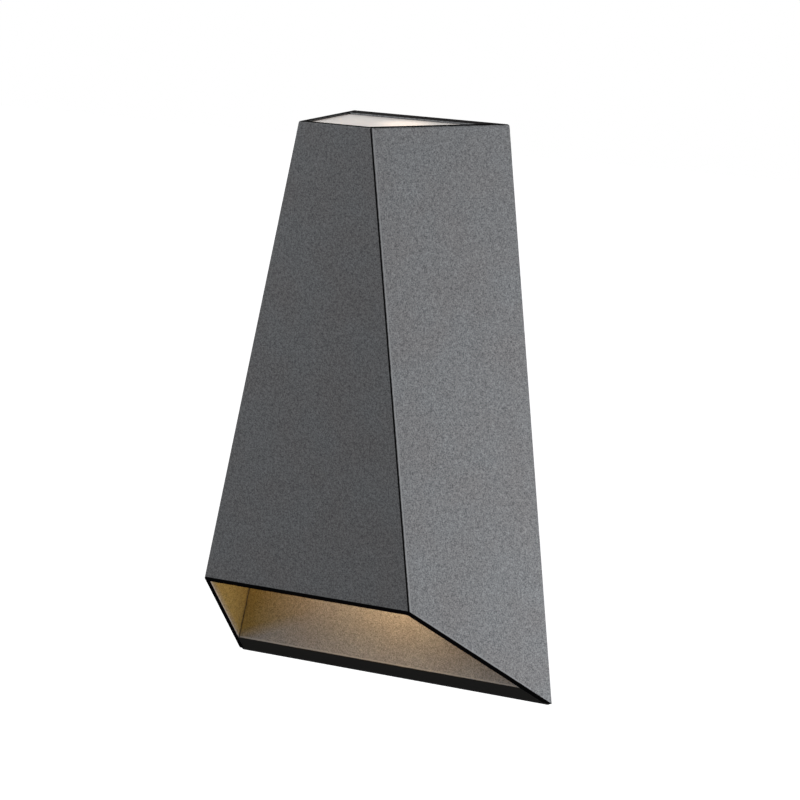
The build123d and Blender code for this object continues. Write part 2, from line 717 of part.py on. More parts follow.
def retaining_washers():
    high = TAB_BOTTOM - SLIDE_GAP - LUG_T - SLIDE_GAP
    washers = []
    for x in RETAINERS:
        ring = rod_z(x, RETAINER_Y, high - WASHER, high, 4.5)
        washers.append(ring - rod_z(x, RETAINER_Y, high - 5, high + 5, M4 + 0.1))
    return washers


def retaining_screws():
    seat = TAB_BOTTOM - SLIDE_GAP - LUG_T - SLIDE_GAP - WASHER
    screw = Rot(180, 0, 0) * pan_screw(M4, 9, 3.8, 2.8)
    return [Pos(x, RETAINER_Y, seat) * screw for x in RETAINERS]


# ================================================================ assembly
def build():
    group("wall_gasket", [wall_gasket()])
    group("back_plate", [back_plate()])
    group("cable_grommet", [cable_grommet()])
    group("locating_pins", locating_pins())
    group("lamp_bracket", [lamp_bracket()])
    group("bracket_screws", bracket_screws())
    group("lampholder_screws", lampholder_screws())
    group("terminal_block", [terminal_block()])
    group("terminal_clamps", terminal_clamps())
    group("terminal_screws", terminal_screws())
    group("terminal_block_screws", terminal_block_screws())
    group("earth_screw", [earth_screw()])
    group("earth_washer", [earth_washer()])
    group("earth_tag", [earth_tag()])
    group("earth_lead", [earth_lead()])
    for name, pin_x, pole_x in (
        ("neutral_leads", -LAMP_PIN_X, POLES[1]),
        ("live_leads", LAMP_PIN_X, POLES[2]),
    ):
        group(name, [holder_lead(name, pin_x, pole_x, upwards) for upwards in (True, False)])
    group("lead_sleeves", lead_sleeves())
    group("lower_baffle", [lower_baffle()])
    group("baffle_screws", baffle_screws())
    group("retaining_screws", retaining_screws())
    group("retaining_washers", retaining_washers())
    group("housing", [housing()])
    group("top_glass", [top_glass()])
    group("top_glass_seal", [top_glass_seal()])
    group("rear_seal", [rear_seal()])
    for which, upwards in (("up", True), ("down", False)):
        group("lampholder_" + which, [in_lamp(lampholder(), upwards)])
        group("holder_cap_" + which, [in_lamp(holder_cap(), upwards)])
        group("holder_contacts_" + which, [in_lamp(s, upwards) for s in holder_contacts()])
        group(f"lamp_{which}_body", [in_lamp(lamp_body(), upwards)])
        group(f"lamp_{which}_base", [in_lamp(lamp_base(), upwards)])
        group(f"lamp_{which}_pins", [in_lamp(s, upwards) for s in lamp_pins()])
        group(f"lamp_{which}_board", [in_lamp(lamp_board(), upwards)])
        group(f"lamp_{which}_lens", [in_lamp(lamp_lens(), upwards)])


build()
os.makedirs("parts", exist_ok=True)
for node, shape in PARTS.items():
    export_step(shape, f"parts/{node}.step")
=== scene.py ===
# %% [markdown]
# # An up-and-down wall light, dressed
#
# The light is a powder-coated housing on a back plate, both taken as cast, with one lamp
# that shines up through a pane of glass and one that shines down out of the open bottom.
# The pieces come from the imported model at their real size. What is left to do here is
# what the eye reads: the grain of each finish, the glow of the lamps, the small pieces
# too fine for the model, and a plain studio. Sizes are metres. The wall is the plane Y = 0.

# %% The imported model
import json
import math

import bmesh
import bpy
from mathutils import Matrix, Vector


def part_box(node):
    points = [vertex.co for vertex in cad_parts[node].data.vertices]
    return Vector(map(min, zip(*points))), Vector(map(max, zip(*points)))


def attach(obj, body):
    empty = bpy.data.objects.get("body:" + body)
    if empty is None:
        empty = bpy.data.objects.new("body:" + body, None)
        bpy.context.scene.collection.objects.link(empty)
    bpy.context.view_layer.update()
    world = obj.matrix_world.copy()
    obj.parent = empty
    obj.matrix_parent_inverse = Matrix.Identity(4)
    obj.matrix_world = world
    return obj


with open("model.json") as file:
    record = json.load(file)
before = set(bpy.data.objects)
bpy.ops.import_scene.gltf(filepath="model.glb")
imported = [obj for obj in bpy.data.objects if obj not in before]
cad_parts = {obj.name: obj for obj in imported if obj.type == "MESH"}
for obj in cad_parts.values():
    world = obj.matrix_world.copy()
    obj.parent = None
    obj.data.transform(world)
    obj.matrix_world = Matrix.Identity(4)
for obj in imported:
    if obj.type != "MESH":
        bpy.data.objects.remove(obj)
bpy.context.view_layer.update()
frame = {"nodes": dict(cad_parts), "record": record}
nodes = frame["nodes"]

# %% [markdown]
# ## Helpers for materials
#
# Every finish is a node tree: a pattern read from Object coordinates, turned into colour,
# roughness and bump. Writing `nodes.new` and `links.new` for each would bury the idea, so
# small helpers do the wiring. A number that is the same all over goes straight onto
# the shader's own socket, because the export keeps it only there.

# %% A material and its nodes
PATTERN = (0.3, 0.7)  # a soft noise hardly leaves this range, so it is stretched to 0..1


def new_material(name, colour, roughness, metallic=0.0, specular=0.5):
    """A material with one Principled shader, which starts as a plain colour."""
    material = bpy.data.materials.new(name)
    material.use_nodes = True
    material.diffuse_color = (*colour, 1.0)
    shader = material.node_tree.nodes["Principled BSDF"]
    shader.inputs["Base Color"].default_value = (*colour, 1.0)
    shader.inputs["Roughness"].default_value = roughness
    shader.inputs["Metallic"].default_value = metallic
    shader.inputs["Specular IOR Level"].default_value = specular
    return material, shader


def add_node(material, kind, inputs=None, **settings):
    """Adds a shader node. An input is a plain value, or another node's output to link."""
    made = material.node_tree.nodes.new("ShaderNode" + kind)
    for key, value in settings.items():
        setattr(made, key, value)
    for key, value in (inputs or {}).items():
        if isinstance(value, bpy.types.NodeSocket):
            material.node_tree.links.new(value, made.inputs[key])
        else:
            made.inputs[key].default_value = value
    return made


def link(material, output, socket):
    material.node_tree.links.new(output, socket)


def place(material):
    """Where a point is on the piece, in metres."""
    return add_node(material, "TexCoord").outputs["Object"]


def noise(material, where, grain, detail=3.0, roughness=0.5):
    """A soft random pattern whose blotches are about one grain across, from 0 to 1."""
    made = add_node(
        material,
        "TexNoise",
        {"Vector": where, "Scale": 1.0 / grain, "Detail": detail, "Roughness": roughness},
    )
    return made.outputs["Fac"]


def between(material, value, low, high, to_low=0.0, to_high=1.0):
    """Stretches a value's range from low..high to to_low..to_high, and holds it there."""
    made = add_node(
        material,
        "MapRange",
        {"Value": value, "From Min": low, "From Max": high, "To Min": to_low, "To Max": to_high},
    )
    return made.outputs["Result"]


def maths(material, operation, a, b=0.0):
    return add_node(material, "Math", {0: a, 1: b}, operation=operation).outputs[0]


def product(material, first, *others):
    """Several masks, multiplied."""
    for other in others:
        first = maths(material, "MULTIPLY", first, other)
    return first


def mix_colour(material, factor, a, b):
    """Colour a where factor is 0, b where it is 1."""
    made = add_node(material, "Mix", data_type="RGBA")
    for socket, value in ((made.inputs[0], factor), (made.inputs[6], a), (made.inputs[7], b)):
        if isinstance(value, bpy.types.NodeSocket):
            link(material, value, socket)
        else:
            socket.default_value = value if isinstance(value, float) else (*value, 1.0)
    return made.outputs[2]


def multiply_colour(material, a, b):
    """Two linked colours, multiplied."""
    made = add_node(material, "Mix", data_type="RGBA", blend_type="MULTIPLY")
    made.inputs[0].default_value = 1.0
    link(material, a, made.inputs[6])
    link(material, b, made.inputs[7])
    return made.outputs[2]


def bump(material, shader, height, distance):
    """Small relief in the shading. Distance is the relief's real height in metres."""
    made = add_node(material, "Bump", {"Height": height, "Distance": distance, "Strength": 1.0})
    link(material, made.outputs["Normal"], shader.inputs["Normal"])


def shade(colour, factor):
    """A darker or lighter version of a colour."""
    return tuple(min(1.0, part * factor) for part in colour)


def vary_colour(material, shader, pattern, colour, low, high):
    """Lets the colour swing between two shades of itself with a pattern."""
    swing = between(material, pattern, *PATTERN)
    tint = mix_colour(material, swing, shade(colour, low), shade(colour, high))
    link(material, tint, shader.inputs["Base Color"])


def vary_roughness(material, shader, pattern, roughness, low, high):
    """Lets the roughness swing with a pattern; low and high are shares of it."""
    swing = between(material, pattern, *PATTERN, roughness * low, roughness * high)
    link(material, swing, shader.inputs["Roughness"])


# %% [markdown]
# ## Where the coat's edges are
#
# Several details of the powder coat follow the edges of the housing: painted shade as a dark
# line on its front crease and as black rims at its slanted lower cut and its top, painted
# highlights as fine light lines beside the crease and above the cut, and painted lamp light
# as a warm tint inside its left wall. Each needs a point and a direction on the piece. They are
# measured on the
# imported meshes here, so they stay right if the form changes.

# %% The crease, the cut and the left side
ON_FRONT = 1e-5  # a point this near the front plane is on the front face
ONE_ROW = 2e-3  # points whose heights differ by less than this are one row
TOP_BAND = 0.01  # the top corners are within this of the top

FRONT_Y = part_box("housing")[0].y
TOP_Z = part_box("housing")[1].z
front_points = [v.co for v in nodes["housing"].data.vertices if v.co.y < FRONT_Y + ON_FRONT]
back_low = min((v.co for v in nodes["back_plate"].data.vertices), key=lambda p: p.z)


def right_end(z):
    """The front face's right end at the height of z."""
    row = [p for p in front_points if abs(p.z - z) < ONE_ROW]
    return max(row, key=lambda p: p.x)


crease_top = right_end(max(p.z for p in front_points))
CREASE_POINT = right_end(min(p.z for p in front_points)).copy()
CREASE_ALONG = (crease_top - CREASE_POINT).normalized()

cut_front_z = min(p.z for p in front_points)
CUT_SLOPE = (cut_front_z - back_low.z) / (back_low.y - FRONT_Y)
CUT_NORMAL = Vector((0.0, -CUT_SLOPE, -1.0)).normalized()
CUT_POINT = Vector((0.0, FRONT_Y, cut_front_z))
CUT_UPWARDS = -math.hypot(1.0, CUT_SLOPE) * CUT_NORMAL  # gives heights above the cut

left_top = min((p for p in front_points if p.z > TOP_Z - TOP_BAND), key=lambda p: p.x)
LEFT_POINT = min(front_points, key=lambda p: p.x).copy()  # where the left edge's rounding starts
left_rise = left_top - LEFT_POINT
LEFT_INWARDS = Vector((left_rise.z, 0.0, -left_rise.x)).normalized()

PLATE_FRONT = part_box("lamp_bracket")[1].y
BAFFLE_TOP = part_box("lower_baffle")[1].z
print("crease", [round(v, 4) for v in CREASE_POINT], "cut rises", round(CUT_SLOPE, 3))
print("left side", [round(v, 4) for v in LEFT_POINT], "plate front", round(PLATE_FRONT, 4))

# %% [markdown]
# ## Masks for the coat
#
# A mask is 1 where a detail is and 0 elsewhere. All of them are built from distances: from a
# plane, from the crease line, from the left side. The pairs of numbers below say where a
# mask starts and where it is full. Those at an edge, the painted shade and the painted
# highlights, do it within a millimetre, about as sharp as shade and light are at a crisp
# edge. The warm tint is painted lamp light and fades over centimetres, as light does.

# %% Distances on the piece
def distance_along(material, where, point, direction):
    """How far a point is from another, measured along a direction."""
    offset = add_node(material, "VectorMath", {0: where, 1: point}, operation="SUBTRACT")
    along = add_node(
        material, "VectorMath", {0: offset.outputs["Vector"], 1: direction}, operation="DOT_PRODUCT"
    )
    return along.outputs["Value"]


def from_crease(material, where):
    """How far a point is from the front crease."""
    offset = add_node(material, "VectorMath", {0: where, 1: CREASE_POINT}, operation="SUBTRACT")
    across = add_node(
        material,
        "VectorMath",
        {0: offset.outputs["Vector"], 1: CREASE_ALONG},
        operation="CROSS_PRODUCT",
    )
    away = add_node(material, "VectorMath", {0: across.outputs["Vector"]}, operation="LENGTH")
    return away.outputs["Value"]


def from_left(material, where):
    """How far a point is inwards of LEFT_POINT, which is a rounding's width inside the left side."""
    return distance_along(material, where, LEFT_POINT, LEFT_INWARDS)


def above_cut(material, where):
    """How high a point is above the slanted lower cut."""
    return distance_along(material, where, CUT_POINT, CUT_UPWARDS)


# %% Painted shade: the dark rims and the dark crease
RIM_DEPTH = 0.0004
CREASE_HALF = 0.0009


def end_plane_mask(material, where, point, normal):
    """1 on a flat end of the piece, 0 elsewhere."""
    depth = distance_along(material, where, point, normal)
    return between(material, depth, -RIM_DEPTH, -0.5 * RIM_DEPTH)


# Painted shade on the rim of the slanted lower cut and on the top rim.
def cut_rim_shade(material, where):
    return end_plane_mask(material, where, CUT_POINT, CUT_NORMAL)


def top_rim_shade(material, where):
    return end_plane_mask(material, where, Vector((0, 0, TOP_Z)), Vector((0, 0, 1)))


def crease_shade_mask(material, where):
    """Painted shade: 1 along the front crease, fading to 0 beside it."""
    return between(material, from_crease(material, where), CREASE_HALF, 0.6 * CREASE_HALF)


# %% What shows in the lower opening
LEFT_WALL = (0.0008, 0.0014)  # inwards of LEFT_POINT: inside the left wall's thickness
FRONT_WALL = (0.0026, 0.0032)  # behind the front face: inside the front wall's thickness
PLATE_SKIN = (0.001, 0.0003)  # behind the plate's front
BAFFLE_FADE = 0.01  # above the baffle


def in_the_opening(material, where):
    """1 on what shows in the lower opening, 0 on every outside face."""
    parts = add_node(material, "SeparateXYZ", {0: where})
    depth, height = parts.outputs["Y"], parts.outputs["Z"]
    inside = between(material, from_left(material, where), *LEFT_WALL)
    behind_front = between(material, depth, *(FRONT_Y + step for step in FRONT_WALL))
    before_plate = between(material, depth, *(PLATE_FRONT + step for step in PLATE_SKIN))
    below_baffle = between(material, height, BAFFLE_TOP + BAFFLE_FADE, BAFFLE_TOP)
    return product(material, inside, behind_front, before_plate, below_baffle)


# %% The warm tint: painted lamp light
TINT_REACH = (0.072, 0.01)  # inwards of LEFT_POINT: where the tint ends, and where it is full
TINT_SLANT = 0.45  # how fast its lower end climbs, away from the left wall
TINT_SOFT = 0.006


def painted_lamp_light(material, where):
    """Painted lamp light: 1 inside the left wall, fading across the opening and towards the plate's
    lower edge.
    """
    inwards = from_left(material, where)
    fade = between(material, inwards, *TINT_REACH)
    lower_end = maths(material, "MULTIPLY", inwards, TINT_SLANT)
    rise = maths(material, "SUBTRACT", above_cut(material, where), lower_end)
    low = between(material, rise, -TINT_SOFT, TINT_SOFT)
    return product(material, in_the_opening(material, where), fade, low)


# %% The fine light lines: painted highlights
CREASE_HIGHLIGHT = 0.0011  # width of the light line beside the crease
SIDE_WALL = (0.0002, 0.0005)  # behind the front face
CUT_HIGHLIGHT_STARTS = (0.0006, 0.0009)  # heights above the cut
CUT_HIGHLIGHT_ENDS = (0.0018, 0.0013)


def crease_painted_highlight(material, where):
    """A painted highlight: 1 on a fine line beside the crease, on the side wall alone."""
    away = from_crease(material, where)
    end = CREASE_HALF + CREASE_HIGHLIGHT
    near = between(material, away, CREASE_HALF, CREASE_HALF + 0.3 * CREASE_HIGHLIGHT)
    far = between(material, away, end, CREASE_HALF + 0.7 * CREASE_HIGHLIGHT)
    depth = add_node(material, "SeparateXYZ", {0: where}).outputs["Y"]
    behind = between(material, depth, *(FRONT_Y + step for step in SIDE_WALL))
    return product(material, near, far, behind)


def cut_painted_highlight(material, where):
    """A painted highlight: 1 on a fine line inside the lower opening, just above the cut."""
    height = above_cut(material, where)
    near = between(material, height, *CUT_HIGHLIGHT_STARTS)
    far = between(material, height, *CUT_HIGHLIGHT_ENDS)
    return product(material, in_the_opening(material, where), near, far)


# Painted highlights: both fine light lines of the housing.
def housing_painted_highlights(material, where):
    return maths(material, "MAXIMUM", crease_painted_highlight(material, where), cut_painted_highlight(material, where))


# %% [markdown]
# ## The powder coat
#
# The housing, the back plate and the baffle wear a fine-textured powder coat. Powder melts
# into small rounded bumps about a millimetre apart, so the finish is a bump from two sizes
# of noise. The same noise tints the colour, because powder lies thicker on a bump than
# between bumps. A slow cloud, a few centimetres across, gives the faint mottling that a
# large sprayed face always has.
#
# The masks go on top of that: painted shade on the crease and the rims, painted highlights
# as fine light lines, and painted lamp light inside the opening. The places of painted shade
# also lose their gloss, or a lamp would show in them as a grey streak. The golden left of the
# opening comes from the lamp on the real light, thrown from wall to wall. Here part of it is
# painted lamp light, a warm tint in the colour.

# %% The coat
COAT = (0.163, 0.166, 0.173)
PLATE_SHADE = 1.5  # the plate is that much lighter than the housing
GRAIN = 0.00095
COARSE = 2.3  # the larger bumps, in grains
FINE_SHARE = 0.72
CLOUD = 0.035
CLOUD_RANGE = (0.35, 0.65)
CLOUD_DARK = (0.985, 0.97, 0.965)
CLOUD_LIGHT = (1.01, 1.03, 1.04)
SPECK_RANGE = (0.32, 0.68)
SPECK_DARK = (0.55, 0.55, 0.56)
SPECK_LIGHT = (1.54, 1.54, 1.52)
RELIEF = 0.0002
GLOSS = 0.12
# Painted highlights are this much lighter than the coat.
HIGHLIGHT_SHADE = 1.45  # the fine light lines
WHITE = (1.0, 1.0, 1.0)
# Painted lamp light: the warm colour laid over the inside of the opening.
PAINTED_LAMP_TINT = (1.0, 0.75, 0.26)


def tinted(colour, tint):
    return tuple(part * share for part, share in zip(colour, tint))


def powder_coat(name, colour, painted_shades, painted_highlight):
    """Fine-textured powder coat with painted shade, painted highlights and painted lamp light. The
    third argument pairs the mask of each place of painted shade with its dark colour; the fourth is
    the mask of the painted highlights.
    """
    material, shader = new_material(name, colour, 0.65, specular=GLOSS)
    where = place(material)
    fine = noise(material, where, GRAIN, detail=1.5)
    coarse = noise(material, where, COARSE * GRAIN, detail=1.0)
    cloud = noise(material, where, CLOUD, detail=2.0)
    mostly_fine = maths(material, "MULTIPLY", fine, FINE_SHARE)
    rest = maths(material, "MULTIPLY", coarse, 1 - FINE_SHARE)
    grain = maths(material, "ADD", mostly_fine, rest)

    swing = between(material, cloud, *CLOUD_RANGE)
    mottled = mix_colour(material, swing, tinted(colour, CLOUD_DARK), tinted(colour, CLOUD_LIGHT))
    specks = mix_colour(material, between(material, grain, *SPECK_RANGE), SPECK_DARK, SPECK_LIGHT)
    result = multiply_colour(material, mottled, specks)
    # Painted lamp light: a warm tint inside the opening.
    tint = mix_colour(material, painted_lamp_light(material, where), WHITE, PAINTED_LAMP_TINT)
    result = multiply_colour(material, result, tint)
    # Painted highlights: the fine light lines.
    result = mix_colour(material, painted_highlight(material, where), result, shade(colour, HIGHLIGHT_SHADE))

    # Painted shade: the dark crease and rims, which also lose their gloss.
    dark = 0.0
    for mask, shade_colour in painted_shades:
        amount = mask(material, where)
        result = mix_colour(material, amount, result, shade_colour)
        dark = maths(material, "MAXIMUM", amount, dark)
    gloss = between(material, dark, 0.0, 1.0, GLOSS, 0.0)
    link(material, result, shader.inputs["Base Color"])
    link(material, gloss, shader.inputs["Specular IOR Level"])
    link(material, between(material, fine, 0.2, 0.8, 0.55, 0.75), shader.inputs["Roughness"])
    bump(material, shader, grain, RELIEF)
    return material


# Painted shade: the dark colours of the crease and of the rims at the lower cut and the top.
RIM_SHADE_BLACK = (0.005, 0.005, 0.0055)
TOP_RIM_SHADE = (0.012, 0.012, 0.012)
PLATE_RIM_SHADE = (0.032, 0.031, 0.03)
PLATE_TOP_RIM_SHADE = (0.05, 0.048, 0.048)
HOUSING_PAINTED_SHADES = [(crease_shade_mask, RIM_SHADE_BLACK), (cut_rim_shade, RIM_SHADE_BLACK), (top_rim_shade, TOP_RIM_SHADE)]
PLATE_PAINTED_SHADES = [(cut_rim_shade, PLATE_RIM_SHADE), (top_rim_shade, PLATE_TOP_RIM_SHADE)]
housing_coat = powder_coat("housing_coat", COAT, HOUSING_PAINTED_SHADES, housing_painted_highlights)
plate_coat = powder_coat("plate_coat", shade(COAT, PLATE_SHADE), PLATE_PAINTED_SHADES, cut_painted_highlight)
print("coat bumps", GRAIN * 1000, "mm apart, nodes", len(housing_coat.node_tree.nodes))

# %% [markdown]
# ## The glass, the lenses and the soft black pieces
#
# The top pane is satin glass: a little of the light passes, blurred, and the frost scatters
# the rest as a pale grey. Where the lamp's beam leaves the pane the frost glows warm, so a
# soft round patch over the lamp gives off a little light of its own.

# %% Glass
GLASS_IOR = 1.5
SATIN_CLEARNESS = 0.12
FROST = 0.02
GLOW_PLACE = (0.012, -0.033)
GLOW_REACH = 0.024
GLOW_COLOUR = (1.0, 0.77, 0.6)
GLOW = (0.1, 0.42)  # away from the lamp and over it


def plain_glass(name, colour, roughness, grain, relief, clearness=1.0):
    material, shader = new_material(name, colour, roughness)
    shader.inputs["Transmission Weight"].default_value = clearness
    shader.inputs["IOR"].default_value = GLASS_IOR
    bump(material, shader, noise(material, place(material), grain, detail=1.0), relief)
    return material, shader


def from_glow(material, where):
    """How far a point of the pane is from the middle of the lamp's patch."""
    parts = add_node(material, "SeparateXYZ", {0: where})
    across = maths(material, "SUBTRACT", parts.outputs["X"], GLOW_PLACE[0])
    outwards = maths(material, "SUBTRACT", parts.outputs["Y"], GLOW_PLACE[1])
    squares = maths(
        material,
        "ADD",
        maths(material, "MULTIPLY", across, across),
        maths(material, "MULTIPLY", outwards, outwards),
    )
    return maths(material, "SQRT", squares)


def satin_glass(name, colour):
    """Frosted glass with a warm glow over the lamp."""
    material, shader = plain_glass(name, colour, 0.3, 0.0012, 0.00003, SATIN_CLEARNESS)
    where = place(material)
    vary_colour(material, shader, noise(material, where, FROST, detail=2.0), colour, 0.93, 1.0)
    glow = between(material, from_glow(material, where), GLOW_REACH, 0.4 * GLOW_REACH)
    shader.inputs["Emission Color"].default_value = (*GLOW_COLOUR, 1.0)
    link(material, between(material, glow, 0.0, 1.0, *GLOW), shader.inputs["Emission Strength"])
    return material


top_glass = satin_glass("satin_glass", (0.9, 0.89, 0.88))
clear_lens = plain_glass("clear_lens", (0.95, 0.95, 0.93), 0.12, 0.003, 0.00002)[0]
print("glass", top_glass.name, clear_lens.name, "patch", GLOW_REACH * 1000, "mm")


# %% Rubber, foam and silicone
def soft_black(name, colour, grain, relief, roughness=0.8):
    material, shader = new_material(name, colour, roughness, specular=0.3)
    pores = noise(material, place(material), grain)
    vary_colour(material, shader, pores, colour, 0.7, 1.4)
    bump(material, shader, pores, relief)
    return material


gasket_foam = soft_black("gasket_foam", (0.02, 0.02, 0.021), 0.0007, 0.0002, 0.95)
grommet_rubber = soft_black("grommet_rubber", (0.03, 0.03, 0.03), 0.002, 0.00005)
seal_silicone = soft_black("seal_silicone", (0.035, 0.035, 0.036), 0.003, 0.00004, 0.5)
print("soft black", gasket_foam.name, grommet_rubber.name, seal_silicone.name)

# %% [markdown]
# ## Metals
#
# Bright zinc, stainless and brass differ in colour and in how they were worked. The bracket
# is galvanised sheet, whose zinc froze in flat crystals, so its pattern is a cell
# texture instead of noise.

# %% Turned and plated metal
METAL_WEAR = 0.0012
METAL_RELIEF = 0.00001


def metal(name, colour, roughness):
    material, shader = new_material(name, colour, roughness, metallic=1.0)
    wear = noise(material, place(material), METAL_WEAR, detail=4.0)
    vary_colour(material, shader, wear, colour, 0.85, 1.08)
    vary_roughness(material, shader, wear, roughness, 0.75, 1.35)
    bump(material, shader, wear, METAL_RELIEF)
    return material


zinc_steel = metal("zinc_steel", (0.56, 0.57, 0.58), 0.28)
stainless = metal("stainless", (0.6, 0.59, 0.57), 0.22)
brass = metal("brass", (0.72, 0.55, 0.27), 0.25)
print("metals", zinc_steel.name, stainless.name, brass.name)

# %% Galvanised sheet
CRYSTALS = 180.0  # crystals in a metre


def galvanised(name, colour):
    material, shader = new_material(name, colour, 0.4, metallic=1.0)
    where = place(material)
    crystals = add_node(material, "TexVoronoi", {"Vector": where, "Scale": CRYSTALS}, feature="F1")
    tone = add_node(material, "SeparateColor", {"Color": crystals.outputs["Color"]}).outputs["Red"]
    tint = mix_colour(material, tone, shade(colour, 0.78), shade(colour, 1.1))
    link(material, tint, shader.inputs["Base Color"])
    link(material, between(material, tone, 0.0, 1.0, 0.3, 0.5), shader.inputs["Roughness"])
    bump(material, shader, noise(material, where, 0.002), METAL_RELIEF)
    return material


bracket_steel = galvanised("bracket_steel", (0.5, 0.51, 0.52))
print("crystals about", round(1000 / CRYSTALS, 1), "mm across")

# %% [markdown]
# ## Mouldings, ceramic and leads
#
# A moulded or pressed piece has a faint unevenness from its tool, which a small noise gives
# to its colour, gloss and surface. The lamp's board is lacquered white and lit, so it gives
# off warm light. The leads have the usual colours: brown, blue, and green with yellow.

# %% Moulded plastic and ceramic
BOARD_GLOW = 1.6
BOARD_COLOUR = (1.0, 0.72, 0.4)


def moulded(name, colour, roughness, grain, relief, variation=0.05):
    material, shader = new_material(name, colour, roughness)
    skin = noise(material, place(material), grain)
    vary_colour(material, shader, skin, colour, 1 - variation, 1 + variation)
    vary_roughness(material, shader, skin, roughness, 0.85, 1.15)
    bump(material, shader, skin, relief)
    return material


def light_up(material, colour, strength):
    """Makes a material give off light of its own."""
    shader = material.node_tree.nodes["Principled BSDF"]
    shader.inputs["Emission Color"].default_value = (*colour, 1.0)
    shader.inputs["Emission Strength"].default_value = strength


holder_ceramic = moulded("holder_ceramic", (0.8, 0.79, 0.75), 0.45, 0.0015, 0.00004)
lamp_plastic = moulded("lamp_plastic", (0.75, 0.75, 0.73), 0.4, 0.0008, 0.00002)
block_plastic = moulded("block_plastic", (0.72, 0.7, 0.64), 0.5, 0.003, 0.00002)
led_board = moulded("led_board", (0.78, 0.77, 0.72), 0.35, 0.004, 0.00001)
light_up(led_board, BOARD_COLOUR, BOARD_GLOW)
sleeve_fibre = moulded("sleeve_glass_fibre", (0.7, 0.68, 0.6), 0.8, 0.0006, 0.0001, 0.15)
print("mouldings", holder_ceramic.name, lamp_plastic.name, block_plastic.name, led_board.name)

# %% The leads' insulation
LIVE_BROWN = (0.16, 0.07, 0.035)
NEUTRAL_BLUE = (0.06, 0.14, 0.4)
EARTH_GREEN = (0.05, 0.27, 0.06)
EARTH_YELLOW = (0.72, 0.55, 0.03)
STRIPE = (0.35, 0.45)  # how far the surface has to face upwards


def insulation(name, colour):
    return moulded(name, colour, 0.4, 0.002, 0.00001, 0.12)


def striped_insulation(name, base, stripe):
    """Insulation with a stripe along its upper side."""
    material = insulation(name, base)
    shader = material.node_tree.nodes["Principled BSDF"]
    tone = shader.inputs["Base Color"].links[0].from_socket
    facing = add_node(material, "NewGeometry").outputs["Normal"]
    upwards = add_node(material, "SeparateXYZ", {0: facing}).outputs["Z"]
    on_top = between(material, upwards, *STRIPE)
    link(material, mix_colour(material, on_top, tone, stripe), shader.inputs["Base Color"])
    return material


live_insulation = insulation("live_insulation", LIVE_BROWN)
neutral_insulation = insulation("neutral_insulation", NEUTRAL_BLUE)
earth_insulation = striped_insulation("earth_insulation", EARTH_GREEN, EARTH_YELLOW)
print("leads", live_insulation.name, neutral_insulation.name, earth_insulation.name)

# %% [markdown]
# ## Every piece gets its finish
#
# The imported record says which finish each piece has, so one loop dresses them all and a
# piece can't be forgotten.

# %% The finishes by name
FINISH = {
    "housing_coat": housing_coat,
    "plate_coat": plate_coat,
    "frosted_glass": top_glass,
    "clear_lens": clear_lens,
    "seal_silicone": seal_silicone,
    "gasket_foam": gasket_foam,
    "grommet_rubber": grommet_rubber,
    "zinc_steel": zinc_steel,
    "bracket_steel": bracket_steel,
    "stainless": stainless,
    "brass": brass,
    "holder_ceramic": holder_ceramic,
    "lamp_plastic": lamp_plastic,
    "block_plastic": block_plastic,
    "led_board": led_board,
    "live_insulation": live_insulation,
    "neutral_insulation": neutral_insulation,
    "earth_insulation": earth_insulation,
    "sleeve_glass_fibre": sleeve_fibre,
}
for row in frame["record"]["subparts"]:
    piece = nodes[row["node"]]
    piece.data.materials.clear()
    piece.data.materials.append(FINISH[row["material_slot"]])
print("finished", len(nodes), "nodes in", len(FINISH), "finishes")

# %% [markdown]
# ## The lenses behind each lamp's face
#
# Behind the clear cover of a lamp each light source has a small moulded lens of its own, a
# cone that gathers the light into a beam. They show from below as seven bright discs. Each
# is a cone, wide end against the cover, with a bevelled edge; one function makes the ring
# of them for the upper lamp, and a turn about X makes the lower lamp's.

# %% Seven lens cones in each lamp
CONE_WIDE = 0.0052
CONE_NARROW = 0.0022
CONE_RING = 0.011
CONE_COUNT = 6
CONE_EDGE = 0.0004
CONE_COLOUR = (1.0, 0.8, 0.5)
CONE_GLOW = 0.9
RIM_BAND = 0.4  # the wide rims lie beyond this share of the depth from the middle

cone_plastic = moulded("lens_cone_plastic", (0.85, 0.83, 0.78), 0.2, 0.0008, 0.00001)
light_up(cone_plastic, CONE_COLOUR, CONE_GLOW)


def cone_ring(depth):
    """One cone in the middle and six round it, standing about the origin, wide ends up."""
    shape = bmesh.new()
    for number in range(CONE_COUNT + 1):
        made = bmesh.ops.create_cone(
            shape, cap_ends=True, segments=32, radius1=CONE_NARROW, radius2=CONE_WIDE, depth=depth
        )
        turn = math.tau * number / CONE_COUNT
        reach = CONE_RING if number < CONE_COUNT else 0.0
        spot = Vector((reach * math.cos(turn), reach * math.sin(turn), 0.0))
        bmesh.ops.translate(shape, verts=made["verts"], vec=spot)
    wide_rims = [e for e in shape.edges if all(v.co.z > RIM_BAND * depth for v in e.verts)]
    bmesh.ops.bevel(
        shape, geom=wide_rims, offset=CONE_EDGE, affect="EDGES", segments=2, profile=0.5, material=-1
    )
    return shape


